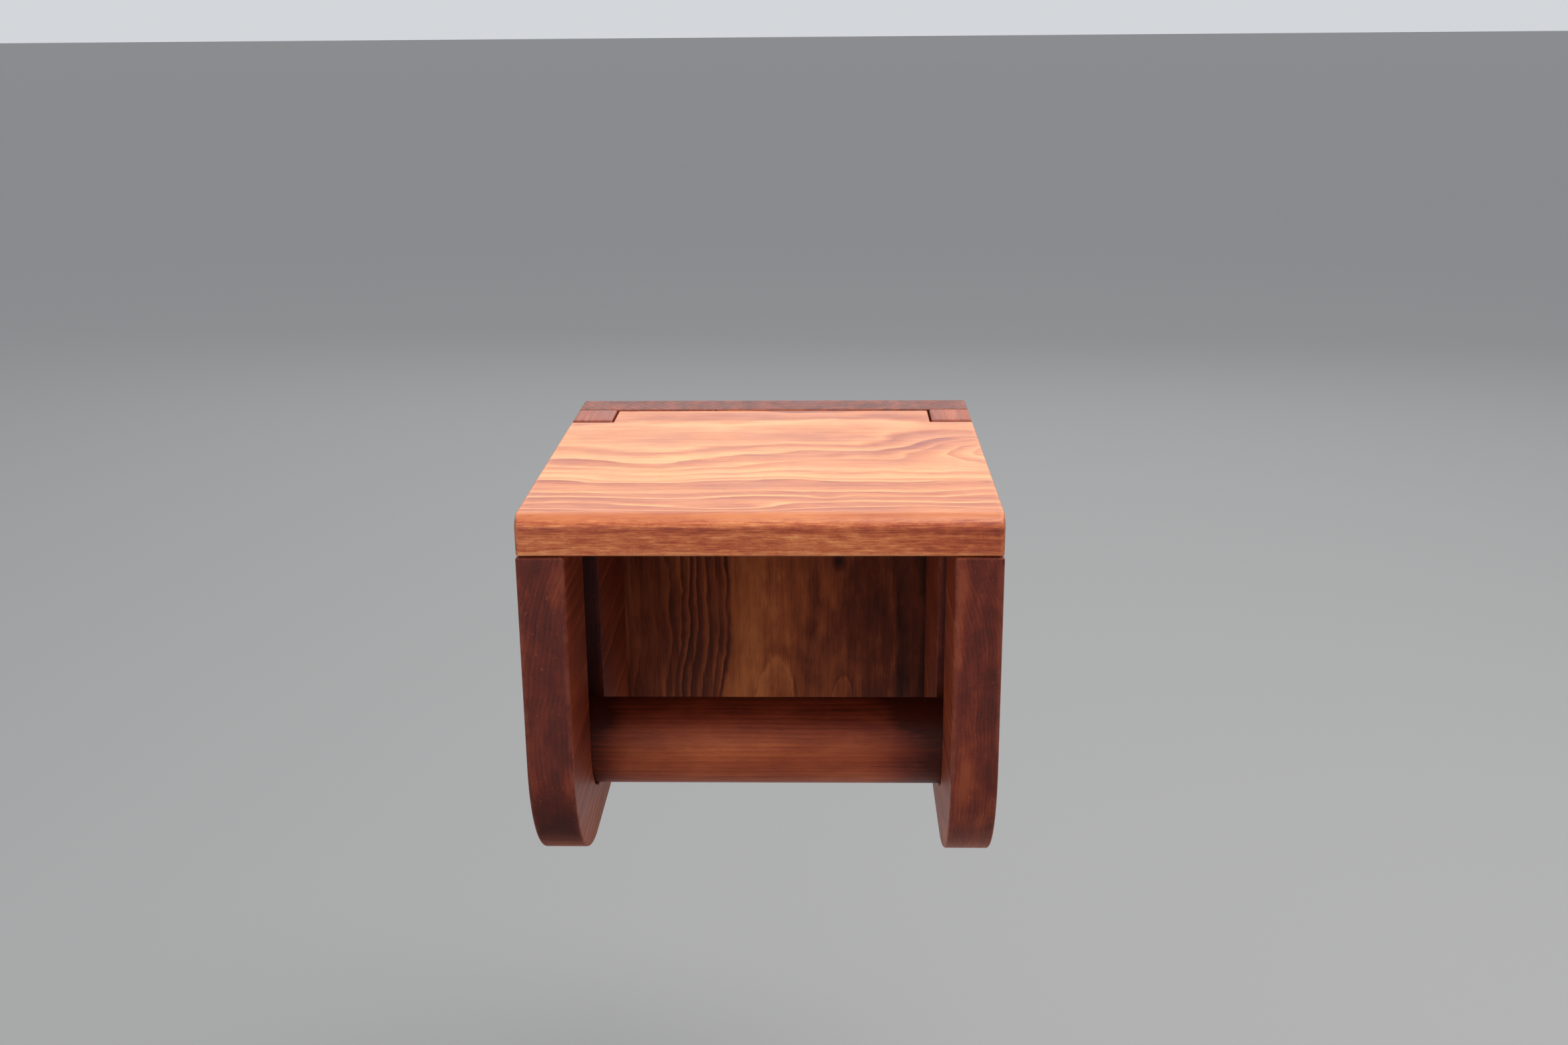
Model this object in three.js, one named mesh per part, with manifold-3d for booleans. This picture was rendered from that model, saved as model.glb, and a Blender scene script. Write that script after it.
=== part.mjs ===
// Wall-hung wooden toilet paper holder with a lift-up lid.
// Millimetres. +Z is up, +Y points into the wall, +X is to the right of someone facing the holder.
// The origin is the middle of the back plate's rear face, which lies against the wall.
//
// Two cheeks stand out from a full-width back plate. The lid lies on the cheeks and turns on two steel pins
// that run through the cheeks' raised rear ends (the ears) into the lid's central tongue. A loose wooden
// roller drops into upright guide grooves cut in the cheeks' inner faces, and comes out upwards once the lid
// is open. The whole holder hangs on two keyhole plates let into the rear of the back plate.
import * as THREE from "three";
import { mergeVertices } from "three/addons/utils/BufferGeometryUtils.js";
import Module from "manifold-3d";

const wasm = await Module();
wasm.setup();

// ---- driving dimensions -------------------------------------------------------------------------
const WIDTH = 160; // over the cheeks, and of the lid and the back plate
const BOARD = 16; // cheek thickness
const PLATE = 17; // back plate thickness
const HEIGHT = 138; // of the back plate, and of the cheeks over their ears
const DEPTH = 171; // wall to the front of the lid and cheeks
const TOP = HEIGHT / 2;
const BOTTOM = -HEIGHT / 2;
const SEAM = 0.3; // what touching pieces keep between them
const IN = WIDTH / 2 - BOARD; // inner face of a cheek

const LID_T = 13.4; // lid thickness
const LID_GAP = 0.5; // between the lid and the cheeks' top edges
const LID_NOSE = 4.2; // radius of the lid's front top arris
const CORNER_R = 49; // lower front corner of a cheek

const HINGE_Y = -27.9; // the lid's axis, at mid thickness of the lid
const HINGE_Z = TOP - LID_T / 2;
const EAR_FRONT = -38.6; // front of the ears
const EAR_R = HINGE_Y - EAR_FRONT; // their upper front corner is rounded about the hinge axis
const SHOULDER = EAR_FRONT - 0.6; // rear edge of the lid's full-width part
const TONGUE_R = 10.3; // the tongue's end is rounded about the hinge axis
const TONGUE_SIDE = 0.8; // gap between tongue and ear
const PIN_D = 5;
const PIN_L = 35;
const PIN_INSET = 0.5; // pin end below the cheek's outer face
const BORE_PLAY = 0.6; // on the diameter

const GROOVE_Y = -109.6; // middle of the guide grooves
const GROOVE_W = 40;
const GROOVE_D = 8;
const ROLLER_D = 32;
const ROLLER_L = 142.8;
const ROLLER_Z = -37;
const SEAT_Z = ROLLER_Z - ROLLER_D / 2 - SEAM + GROOVE_W / 2; // centre of the grooves' round ends

const SCREW_X = WIDTH / 2 - BOARD / 2; // plate-to-cheek screws, on the cheeks' centre lines
const SCREW_ZS = { upper: 40, lower: -45 };
const SCREW = { d: 4, head: 8, cone: 3, length: 45, sunk: 0.6 };

const HANGER_X = 48;
const HANGER_Z = 34;
const HANGER = { w: 15, h: 33, t: 1.6, r: 4, sunk: 0.2 };
const KEY = { hole: 9, slot: 4.6, holeZ: -4, slotZ: 5.5 };
const POCKET = { w: 12, low: -9.2, high: 8.6, depth: 7 };
const SMALL = { d: 2.8, head: 5.4, cone: 1.4, length: 11, sunk: 0.45 };
const HANGER_SCREW_Z = 12.7;

// ---- helpers ------------------------------------------------------------------------------------
const P = (x, y) => new THREE.Vector2(x, y);

// Points of an arc, ends included; angles in degrees.
function arc(cx, cy, r, from, to, steps) {
  const out = [];
  for (let i = 0; i <= steps; i++) {
    const a = THREE.MathUtils.degToRad(from + ((to - from) * i) / steps);
    out.push(P(cx + r * Math.cos(a), cy + r * Math.sin(a)));
  }
  return out;
}

// A closed geometry as a manifold-3d solid, facing out.
function solid(geometry) {
  const g = geometry.index ? geometry.toNonIndexed() : geometry.clone();
  g.deleteAttribute("normal");
  g.deleteAttribute("uv");
  const merged = mergeVertices(g, 1e-4);
  const v = merged.attributes.position.array;
  const t = new Uint32Array(merged.index.array);
  let volume = 0;
  for (let i = 0; i < t.length; i += 3) {
    const [a, b, c] = [t[i] * 3, t[i + 1] * 3, t[i + 2] * 3];
    volume +=
      v[a] * (v[b + 1] * v[c + 2] - v[b + 2] * v[c + 1]) +
      v[a + 1] * (v[b + 2] * v[c] - v[b] * v[c + 2]) +
      v[a + 2] * (v[b] * v[c + 1] - v[b + 1] * v[c]);
  }
  if (volume < 0)
    for (let i = 0; i < t.length; i += 3) [t[i + 1], t[i + 2]] = [t[i + 2], t[i + 1]];
  const keep = [];
  for (let i = 0; i < t.length; i += 3)
    if (t[i] !== t[i + 1] && t[i + 1] !== t[i + 2] && t[i] !== t[i + 2])
      keep.push(t[i], t[i + 1], t[i + 2]);
  return new wasm.Manifold(
    new wasm.Mesh({ numProp: 3, vertProperties: v, triVerts: new Uint32Array(keep) }),
  );
}

// Outline in (Y, Z) pushed along X from x0 to x1.
function alongX(points, x0, x1) {
  const g = new THREE.ExtrudeGeometry(new THREE.Shape(points), {
    depth: x1 - x0,
    bevelEnabled: false,
  });
  g.applyMatrix4(new THREE.Matrix4().set(0, 0, 1, x0, 1, 0, 0, 0, 0, 1, 0, 0, 0, 0, 0, 1));
  return solid(g);
}

// Outline in (X, Z) pushed along Y from y0 to y1.
function alongY(points, y0, y1) {
  const g = new THREE.ExtrudeGeometry(new THREE.Shape(points), {
    depth: y1 - y0,
    bevelEnabled: false,
  });
  g.applyMatrix4(new THREE.Matrix4().set(1, 0, 0, 0, 0, 0, -1, y1, 0, 1, 0, 0, 0, 0, 0, 1));
  return solid(g);
}

// Profile of (radius, x) turned about the X direction through (y, z).
function turnedX(profile, y, z, segments = 48) {
  const g = new THREE.LatheGeometry(profile, segments);
  g.rotateZ(-Math.PI / 2);
  g.translate(0, y, z);
  return solid(g);
}

// Profile of (radius, y) turned about the Y direction through (x, z).
function turnedY(profile, x, z, segments = 32) {
  const g = new THREE.LatheGeometry(profile, segments);
  g.translate(x, 0, z);
  return solid(g);
}

// A countersunk screw driven in from the rear: head at y = -sunk, point towards -Y.
function screw(s, x, z) {
  const y0 = -s.sunk;
  return turnedY(
    [
      P(0, y0 - s.length),
      P(s.d * 0.18, y0 - s.length + 0.6),
      P(s.d / 2, y0 - s.length + s.d * 1.4),
      P(s.d / 2, y0 - s.cone),
      P(s.head / 2, y0 - 0.35),
      P(s.head / 2, y0),
      P(0, y0),
    ],
    x,
    z,
    28,
  );
}

// The hole the same screw needs, with play all round, open to the rear.
function screwHole(s, x, z, reach) {
  const y0 = -s.sunk;
  const play = BORE_PLAY / 2;
  return turnedY(
    [
      P(0, y0 - reach),
      P(s.d / 2 + play, y0 - reach),
      P(s.d / 2 + play, y0 - s.cone - play),
      P(s.head / 2 + play, y0 - 0.35 - play),
      P(s.head / 2 + play, 2),
      P(0, 2),
    ],
    x,
    z,
    28,
  );
}

const root = new THREE.Group();
root.name = "toilet_paper_holder";

function node(name, made, colour, roughness, metalness) {
  const m = made.getMesh();
  const n = m.numProp;
  const v = new Float32Array(m.numVert * 3);
  for (let i = 0; i < m.numVert; i++)
    v.set(m.vertProperties.subarray(i * n, i * n + 3), i * 3);
  const g = new THREE.BufferGeometry();
  g.setAttribute("position", new THREE.BufferAttribute(v, 3));
  g.setIndex(new THREE.BufferAttribute(new Uint32Array(m.triVerts), 1));
  g.computeVertexNormals();
  const mesh = new THREE.Mesh(
    g,
    new THREE.MeshStandardMaterial({ color: colour, roughness, metalness, flatShading: true }),
  );
  mesh.name = name;
  root.add(mesh);
}

const WOOD = { dark: 0x6b3a24, mid: 0x8a4c2c, light: 0xa9683c };

// ---- back plate ---------------------------------------------------------------------------------
const half = WIDTH / 2;
let plate = alongX(
  [P(-PLATE, BOTTOM), P(0, BOTTOM), P(0, TOP), P(-PLATE, TOP)],
  -half,
  half,
);
const roundRect = (w, h, r, cx, cz) => [
  ...arc(cx + w / 2 - r, cz - h / 2 + r, r, -90, 0, 6),
  ...arc(cx + w / 2 - r, cz + h / 2 - r, r, 0, 90, 6),
  ...arc(cx - w / 2 + r, cz + h / 2 - r, r, 90, 180, 6),
  ...arc(cx - w / 2 + r, cz - h / 2 + r, r, 180, 270, 6),
];
for (const side of [-1, 1]) {
  for (const z of Object.values(SCREW_ZS))
    plate = plate.subtract(screwHole(SCREW, side * SCREW_X, z, 30));
  const cx = side * HANGER_X;
  // shallow recess for the keyhole plate, then a deeper pocket for the wall screw's head
  plate = plate.subtract(
    alongY(
      roundRect(HANGER.w + 2 * SEAM, HANGER.h + 2 * SEAM, HANGER.r + SEAM, cx, HANGER_Z),
      -HANGER.t - HANGER.sunk - SEAM,
      2,
    ),
  );
  plate = plate.subtract(
    alongY(
      roundRect(
        POCKET.w,
        POCKET.high - POCKET.low,
        4,
        cx,
        HANGER_Z + (POCKET.high + POCKET.low) / 2,
      ),
      -HANGER.t - POCKET.depth,
      0,
    ),
  );
  for (const dz of [-HANGER_SCREW_Z, HANGER_SCREW_Z])
    plate = plate.subtract(screwHole(SMALL, cx, HANGER_Z + dz, SMALL.length + 0.5));
}
node("back_plate", plate, WOOD.mid, 0.5, 0);

// ---- cheeks -------------------------------------------------------------------------------------
const cheekTop = TOP - LID_T - LID_GAP;
const cheekOutline = [
  P(-PLATE - SEAM, BOTTOM),
  P(-PLATE - SEAM, TOP),
  ...arc(HINGE_Y, HINGE_Z, EAR_R, 180 - THREE.MathUtils.radToDeg(Math.asin(LID_T / 2 / EAR_R)), 180, 8),
  P(EAR_FRONT, cheekTop),
  P(-DEPTH, cheekTop),
  ...arc(-DEPTH + CORNER_R, BOTTOM + CORNER_R, CORNER_R, 180, 270, 24),
];
const grooveOutline = [
  ...arc(GROOVE_Y, SEAT_Z, GROOVE_W / 2, 180, 360, 28),
  P(GROOVE_Y + GROOVE_W / 2, TOP),
  P(GROOVE_Y - GROOVE_W / 2, TOP),
];
function cheek(side) {
  const [x0, x1] = side < 0 ? [-half, -IN] : [IN, half];
  let made = alongX(cheekOutline, x0, x1);
  const [g0, g1] = side < 0 ? [-IN - GROOVE_D, -IN + 5] : [IN - 5, IN + GROOVE_D];
  made = made.subtract(alongX(grooveOutline, g0, g1));
  // through bore for the hinge pin
  made = made.subtract(
    turnedX(
      [P(0, -half - 5), P((PIN_D + BORE_PLAY) / 2, -half - 5), P((PIN_D + BORE_PLAY) / 2, half + 5), P(0, half + 5)],
      HINGE_Y,
      HINGE_Z,
      28,
    ),
  );
  for (const z of Object.values(SCREW_ZS))
    made = made.subtract(screwHole(SCREW, side * SCREW_X, z, SCREW.length + 1));
  return made;
}
node("left_cheek", cheek(-1), WOOD.dark, 0.5, 0);
node("right_cheek", cheek(1), WOOD.dark, 0.5, 0);

// ---- lid ----------------------------------------------------------------------------------------
const lidUnder = TOP - LID_T;
const wide = alongX(
  [
    P(SHOULDER, lidUnder),
    P(SHOULDER, TOP),
    ...arc(-DEPTH + LID_NOSE, TOP - LID_NOSE, LID_NOSE, 90, 180, 6),
    ...arc(-DEPTH + 1, lidUnder + 1, 1, 180, 270, 3),
  ],
  -half,
  half,
);
const endArc = THREE.MathUtils.radToDeg(Math.asin(LID_T / 2 / TONGUE_R));
const tongue = alongX(
  [
    P(SHOULDER - 4, lidUnder),
    ...arc(HINGE_Y, HINGE_Z, TONGUE_R, -endArc, endArc, 12),
    P(SHOULDER - 4, TOP),
  ],
  -IN + TONGUE_SIDE,
  IN - TONGUE_SIDE,
);
let lid = wide.add(tongue);
for (const side of [-1, 1]) {
  const inner = half - PIN_INSET - PIN_L - 1;
  lid = lid.subtract(
    turnedX(
      side < 0
        ? [P(0, -half - 5), P((PIN_D + BORE_PLAY) / 2, -half - 5), P((PIN_D + BORE_PLAY) / 2, -inner), P(0, -inner)]
        : [P(0, inner), P((PIN_D + BORE_PLAY) / 2, inner), P((PIN_D + BORE_PLAY) / 2, half + 5), P(0, half + 5)],
      HINGE_Y,
      HINGE_Z,
      28,
    ),
  );
}
node("lid", lid, WOOD.light, 0.45, 0);

// ---- hinge pins ---------------------------------------------------------------------------------
function pin(side) {
  const out = half - PIN_INSET;
  const a = side < 0 ? -out : out - PIN_L;
  return turnedX(
    [
      P(0, a),
      P(PIN_D / 2 - 0.4, a),
      P(PIN_D / 2, a + 0.4),
      P(PIN_D / 2, a + PIN_L - 0.4),
      P(PIN_D / 2 - 0.4, a + PIN_L),
      P(0, a + PIN_L),
    ],
    HINGE_Y,
    HINGE_Z,
    28,
  );
}
node("left_hinge_pin", pin(-1), 0x9a9a98, 0.35, 1);
node("right_hinge_pin", pin(1), 0x9a9a98, 0.35, 1);

// ---- roller -------------------------------------------------------------------------------------
const rl = ROLLER_L / 2;
const rr = ROLLER_D / 2;
node(
  "roller",
  turnedX(
    [P(0, -rl), P(rr - 1.2, -rl), P(rr - 0.35, -rl + 0.35), P(rr, -rl + 1.2), P(rr, rl - 1.2), P(rr - 0.35, rl - 0.35), P(rr - 1.2, rl), P(0, rl)],
    GROOVE_Y,
    ROLLER_Z,
    64,
  ),
  WOOD.mid,
  0.45,
  0,
);

// ---- screws from the back plate into the cheeks ---------------------------------------------------
for (const [word, side] of [["left", -1], ["right", 1]])
  for (const [level, z] of Object.entries(SCREW_ZS))
    node(`${word}_cheek_screw_${level}`, screw(SCREW, side * SCREW_X, z), 0xb9a66a, 0.35, 1);

// ---- keyhole plates and their screws ---------------------------------------------------------------
function keyholePlate(cx) {
  const y0 = -HANGER.sunk - HANGER.t;
  let made = alongY(roundRect(HANGER.w, HANGER.h, HANGER.r, cx, HANGER_Z), y0, -HANGER.sunk);
  const a = THREE.MathUtils.radToDeg(Math.asin(KEY.slot / KEY.hole));
  made = made.subtract(
    alongY(
      [
        ...arc(cx, HANGER_Z + KEY.slotZ, KEY.slot / 2, 0, 180, 10),
        ...arc(cx, HANGER_Z + KEY.holeZ, KEY.hole / 2, 90 + a, 450 - a, 26),
      ],
      y0 - 2,
      2,
    ),
  );
  const play = BORE_PLAY / 2;
  for (const dz of [-HANGER_SCREW_Z, HANGER_SCREW_Z])
    made = made.subtract(
      turnedY(
        [
          P(0, y0 - 1),
          P(SMALL.d / 2 + play, y0 - 1),
          P(SMALL.d / 2 + play, -SMALL.sunk - SMALL.cone - play),
          P(SMALL.head / 2 + play, -SMALL.sunk - 0.35 - play),
          P(SMALL.head / 2 + play, 2),
          P(0, 2),
        ],
        cx,
        HANGER_Z + dz,
        24,
      ),
    );
  return made;
}
for (const [word, side] of [["left", -1], ["right", 1]]) {
  node(`${word}_keyhole_plate`, keyholePlate(side * HANGER_X), 0xb8b8b4, 0.4, 1);
  for (const [level, dz] of [["upper", HANGER_SCREW_Z], ["lower", -HANGER_SCREW_Z]])
    node(`${word}_keyhole_screw_${level}`, screw(SMALL, side * HANGER_X, HANGER_Z + dz), 0xb8b8b4, 0.35, 1);
}

export default root;
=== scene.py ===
import math

import bmesh
import bpy
import numpy as np
from mathutils import Matrix, Vector


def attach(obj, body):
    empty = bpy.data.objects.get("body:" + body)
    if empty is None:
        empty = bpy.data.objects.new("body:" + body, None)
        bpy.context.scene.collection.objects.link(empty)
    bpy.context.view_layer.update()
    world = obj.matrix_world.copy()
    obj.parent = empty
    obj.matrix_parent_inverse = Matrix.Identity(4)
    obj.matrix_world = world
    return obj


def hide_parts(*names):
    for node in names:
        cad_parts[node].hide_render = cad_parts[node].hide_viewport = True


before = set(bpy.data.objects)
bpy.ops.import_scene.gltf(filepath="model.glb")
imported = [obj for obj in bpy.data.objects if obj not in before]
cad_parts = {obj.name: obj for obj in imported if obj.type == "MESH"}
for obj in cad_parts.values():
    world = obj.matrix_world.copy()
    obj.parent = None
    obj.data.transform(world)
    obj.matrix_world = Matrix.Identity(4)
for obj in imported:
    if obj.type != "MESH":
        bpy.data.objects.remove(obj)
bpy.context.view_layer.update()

MM = 0.001
scene = bpy.context.scene
scene.view_settings.view_transform = "Standard"
scene.view_settings.look = "None"
scene.view_settings.exposure = 0.0
scene.view_settings.gamma = 1.0

# ------------------------------------------------------------------------------------------------
# Dimensions of the design, in millimetres
# ------------------------------------------------------------------------------------------------
HALF, IN = 80.0, 64.0
PLATE = 17.0
TOP, BOTTOM = 69.0, -69.0
DEPTH = 171.0
LID_T = 13.4
LID_UNDER = TOP - LID_T
CHEEK_TOP = LID_UNDER - 0.5
CORNER_R = 49.0
HY, HZ = -27.9, TOP - LID_T / 2
EAR_FRONT = -38.6
EAR_R = HY - EAR_FRONT
SHOULDER = EAR_FRONT - 0.6
TONGUE_R = 10.3
TONGUE_X = IN - 0.8
GROOVE_Y, GROOVE_W, GROOVE_D = -109.6, 40.0, 8.0
ROLLER_R, ROLLER_L, ROLLER_Z = 16.0, 142.8, -37.0
SEAT_Z = ROLLER_Z - ROLLER_R - 0.3 + GROOVE_W / 2
SCREW_X = 72.0
SCREW_Z = {"upper": 40.0, "lower": -45.0}
HANGER_X, HANGER_Z = 48.0, 34.0

# ------------------------------------------------------------------------------------------------
# Camera: fitted to the straight edges of the holder
# ------------------------------------------------------------------------------------------------
W = 0.160
cam_data = bpy.data.cameras.new("camera")
cam = bpy.data.objects.new("camera", cam_data)
scene.collection.objects.link(cam)
yaw, pitch, roll = -0.0265, 0.2955, -0.00832
cy, sy, cp, sp, cr, sr = math.cos(yaw), math.sin(yaw), math.cos(pitch), math.sin(pitch), math.cos(roll), math.sin(roll)
fwd = Vector((sy * cp, cy * cp, -sp))
right = Vector((cy, -sy, 0.0))
up = right.cross(fwd)
r2 = right * cr + up * sr
u2 = up * cr - right * sr
m = Matrix((r2, u2, -fwd)).transposed().to_4x4()
m.translation = Vector((0.1371 * W, -4.3010 * W, 0.9730 * W + TOP * MM))
cam.matrix_world = m
cam_data.sensor_fit = "HORIZONTAL"
cam_data.sensor_width = 36.0
cam_data.lens = 2508.44 * 36.0 / 2353.0
cam_data.clip_start = 0.01
cam_data.clip_end = 50.0
scene.camera = cam


# ------------------------------------------------------------------------------------------------
# Mesh helpers
# ------------------------------------------------------------------------------------------------
def arc(cx, cy_, r, a0, a1, steps):
    out = []
    for i in range(steps + 1):
        a = math.radians(a0 + (a1 - a0) * i / steps)
        out.append((cx + r * math.cos(a), cy_ + r * math.sin(a)))
    return out


def new_object(name, verts, faces):
    me = bpy.data.meshes.new(name)
    me.from_pydata([tuple(c * MM for c in v) for v in verts], [], faces)
    me.update()
    bm = bmesh.new()
    bm.from_mesh(me)
    bmesh.ops.remove_doubles(bm, verts=bm.verts, dist=1e-7)
    bmesh.ops.recalc_face_normals(bm, faces=bm.faces)
    bm.to_mesh(me)
    bm.free()
    ob = bpy.data.objects.new(name, me)
    scene.collection.objects.link(ob)
    return ob


def prism(name, outline, a0, a1, axis):
    """Closed outline pushed along an axis: 'x' takes (y, z) points, 'y' takes (x, z), 'z' takes (x, y)."""
    n = len(outline)

    def place(p, a):
        if axis == "x":
            return (a, p[0], p[1])
        if axis == "y":
            return (p[0], a, p[1])
        return (p[0], p[1], a)

    verts = [place(p, a0) for p in outline] + [place(p, a1) for p in outline]
    faces = [list(range(n))[::-1], [n + i for i in range(n)]]
    faces += [[i, (i + 1) % n, n + (i + 1) % n, n + i] for i in range(n)]
    return new_object(name, verts, faces)


def turned(name, profile, axis, centre, segments=48):
    """Profile of (radius, along) turned about a line parallel to an axis through centre."""
    rings, verts = [], []
    for r, a in profile:
        ring = []
        count = 1 if r < 1e-6 else segments
        for k in range(count):
            t = 2 * math.pi * k / segments
            p = (r * math.cos(t), r * math.sin(t))
            if axis == "x":
                v = (a, centre[0] + p[0], centre[1] + p[1])
            else:
                v = (centre[0] + p[0], a, centre[1] + p[1])
            ring.append(len(verts))
            verts.append(v)
        rings.append(ring)
    faces = []
    for a, b in zip(rings, rings[1:]):
        for k in range(segments):
            k2 = (k + 1) % segments
            if len(a) == 1 and len(b) == 1:
                continue
            if len(a) == 1:
                faces.append([a[0], b[k], b[k2]])
            elif len(b) == 1:
                faces.append([a[k], b[0], a[k2]])
            else:
                faces.append([a[k], b[k], b[k2], a[k2]])
    for ring, first in ((rings[0], True), (rings[-1], False)):
        if len(ring) > 1:
            faces.append(ring if first else ring[::-1])
    return new_object(name, verts, faces)


def apply_modifiers(ob):
    dg = bpy.context.evaluated_depsgraph_get()
    dg.update()
    me = bpy.data.meshes.new_from_object(ob.evaluated_get(dg), preserve_all_data_layers=True, depsgraph=dg)
    old = ob.data
    ob.modifiers.clear()
    ob.data = me
    me.name = ob.name
    bpy.data.meshes.remove(old)


def bevel(ob, width, segments=4, angle=35):
    b = ob.modifiers.new("arris", "BEVEL")
    b.width = width * MM
    b.segments = segments
    b.limit_method = "ANGLE"
    b.angle_limit = math.radians(angle)
    b.use_clamp_overlap = True
    b.miter_outer = "MITER_ARC"


def cut(ob, cutters):
    for c in cutters:
        m_ = ob.modifiers.new("cut", "BOOLEAN")
        m_.operation = "DIFFERENCE"
        m_.solver = "EXACT"
        m_.object = c
    apply_modifiers(ob)
    for c in cutters:
        me = c.data
        bpy.data.objects.remove(c)
        bpy.data.meshes.remove(me)


def smooth(ob, angle=40):
    me = ob.data
    me.shade_smooth()
    me.set_sharp_from_angle(angle=math.radians(angle))
    w = ob.modifiers.new("normals", "WEIGHTED_NORMAL")
    w.mode = "FACE_AREA_WITH_ANGLE"
    w.weight = 100
    w.keep_sharp = True
    apply_modifiers(ob)


def place(ob, node, body, material, slot):
    ob.data.materials.clear()
    ob.data.materials.append(material)
    for p in ob.data.polygons:
        p.material_index = 0
    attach(ob, body)
    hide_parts(node)


# ------------------------------------------------------------------------------------------------
# Node helpers
# ------------------------------------------------------------------------------------------------
class Tree:
    def __init__(self, name):
        self.mat = bpy.data.materials.new(name)
        self.mat.use_nodes = True
        self.nt = self.mat.node_tree
        self.nt.nodes.clear()
        self.out = self.nt.nodes.new("ShaderNodeOutputMaterial")
        self.bsdf = self.nt.nodes.new("ShaderNodeBsdfPrincipled")
        self.nt.links.new(self.bsdf.outputs[0], self.out.inputs["Surface"])
        self.coord = self.nt.nodes.new("ShaderNodeTexCoord")

    def _in(self, socket, value):
        if value is None:
            return
        if isinstance(value, bpy.types.NodeSocket):
            self.nt.links.new(value, socket)
        else:
            socket.default_value = value

    def math(self, op, a, b=None, c=None, clamp=False):
        n = self.nt.nodes.new("ShaderNodeMath")
        n.operation = op
        n.use_clamp = clamp
        self._in(n.inputs[0], a)
        self._in(n.inputs[1], b)
        self._in(n.inputs[2], c)
        return n.outputs[0]

    def xyz(self, v):
        n = self.nt.nodes.new("ShaderNodeSeparateXYZ")
        self._in(n.inputs[0], v)
        return n.outputs[0], n.outputs[1], n.outputs[2]

    def vec(self, x, y, z):
        n = self.nt.nodes.new("ShaderNodeCombineXYZ")
        self._in(n.inputs[0], x)
        self._in(n.inputs[1], y)
        self._in(n.inputs[2], z)
        return n.outputs[0]

    def noise(self, v, scale=1.0, detail=2.0, rough=0.5, distortion=0.0, kind="FBM"):
        n = self.nt.nodes.new("ShaderNodeTexNoise")
        n.noise_dimensions = "3D"
        n.noise_type = kind
        self._in(n.inputs["Vector"], v)
        n.inputs["Scale"].default_value = scale
        n.inputs["Detail"].default_value = detail
        n.inputs["Roughness"].default_value = rough
        n.inputs["Distortion"].default_value = distortion
        return n.outputs[0]

    def white(self, w):
        n = self.nt.nodes.new("ShaderNodeTexWhiteNoise")
        n.noise_dimensions = "1D"
        self._in(n.inputs["W"], w)
        return n.outputs["Value"]

    def range(self, v, a, b, c=0.0, d=1.0, smooth_=True):
        n = self.nt.nodes.new("ShaderNodeMapRange")
        n.interpolation_type = "SMOOTHSTEP" if smooth_ else "LINEAR"
        n.clamp = True
        self._in(n.inputs[0], v)
        n.inputs[1].default_value = a
        n.inputs[2].default_value = b
        n.inputs[3].default_value = c
        n.inputs[4].default_value = d
        return n.outputs[0]

    def ramp(self, v, stops, interp="LINEAR"):
        n = self.nt.nodes.new("ShaderNodeValToRGB")
        cr_ = n.color_ramp
        cr_.interpolation = interp
        while len(cr_.elements) < len(stops):
            cr_.elements.new(0.5)
        for e, (p, c) in zip(cr_.elements, stops):
            e.position = p
            e.color = (*c, 1.0) if isinstance(c, (tuple, list)) else (c, c, c, 1.0)
        self._in(n.inputs[0], v)
        return n.outputs[0]

    def mix(self, f, a, b, mode="MIX"):
        n = self.nt.nodes.new("ShaderNodeMix")
        n.data_type = "RGBA"
        n.blend_type = mode
        self._in(n.inputs[0], f)
        for i, v in ((6, a), (7, b)):
            if isinstance(v, (tuple, list)):
                n.inputs[i].default_value = (*v[:3], 1.0)
            else:
                self._in(n.inputs[i], v)
        return n.outputs[2]

    def bump(self, height, distance, strength=1.0, normal=None):
        n = self.nt.nodes.new("ShaderNodeBump")
        n.inputs["Strength"].default_value = strength
        n.inputs["Distance"].default_value = distance
        self._in(n.inputs["Height"], height)
        if normal is not None:
            self._in(n.inputs["Normal"], normal)
        return n.outputs[0]


def srgb(r, g, b):
    def f(c):
        c /= 255.0
        return c / 12.92 if c <= 0.04045 else ((c + 0.055) / 1.055) ** 2.4
    return (f(r), f(g), f(b))


# ------------------------------------------------------------------------------------------------
# Stained pine. Shared recipe: a figure (growth rings) given by each board's own function, fibres,
# stain blotches, flecks, end grain and worn arrises that are partly painted highlight. Everything is laid out in
# millimetres of the design's own frame, so the figure moves with the board.
# ------------------------------------------------------------------------------------------------
def stops(pairs, low, high):
    return [((p - low) / (high - low), v) for p, v in pairs]


def hump(t, a, b, a0, b0, ra, rb, amount):
    """A smooth bump centred on (a0, b0)."""
    p = t.math("MULTIPLY", t.math("SUBTRACT", a, a0), 1.0 / ra)
    q = t.math("MULTIPLY", t.math("SUBTRACT", b, b0), 1.0 / rb)
    d = t.math("ADD", t.math("MULTIPLY", p, p), t.math("MULTIPLY", q, q))
    return t.math("MULTIPLY", t.math("EXPONENT", t.math("MULTIPLY", d, -1.0)), amount)


def scaled(t, v, a, b, c):
    x, y, z = v
    return t.vec(t.math("MULTIPLY", x, 1.0 / a), t.math("MULTIPLY", y, 1.0 / b), t.math("MULTIPLY", z, 1.0 / c))


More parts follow.
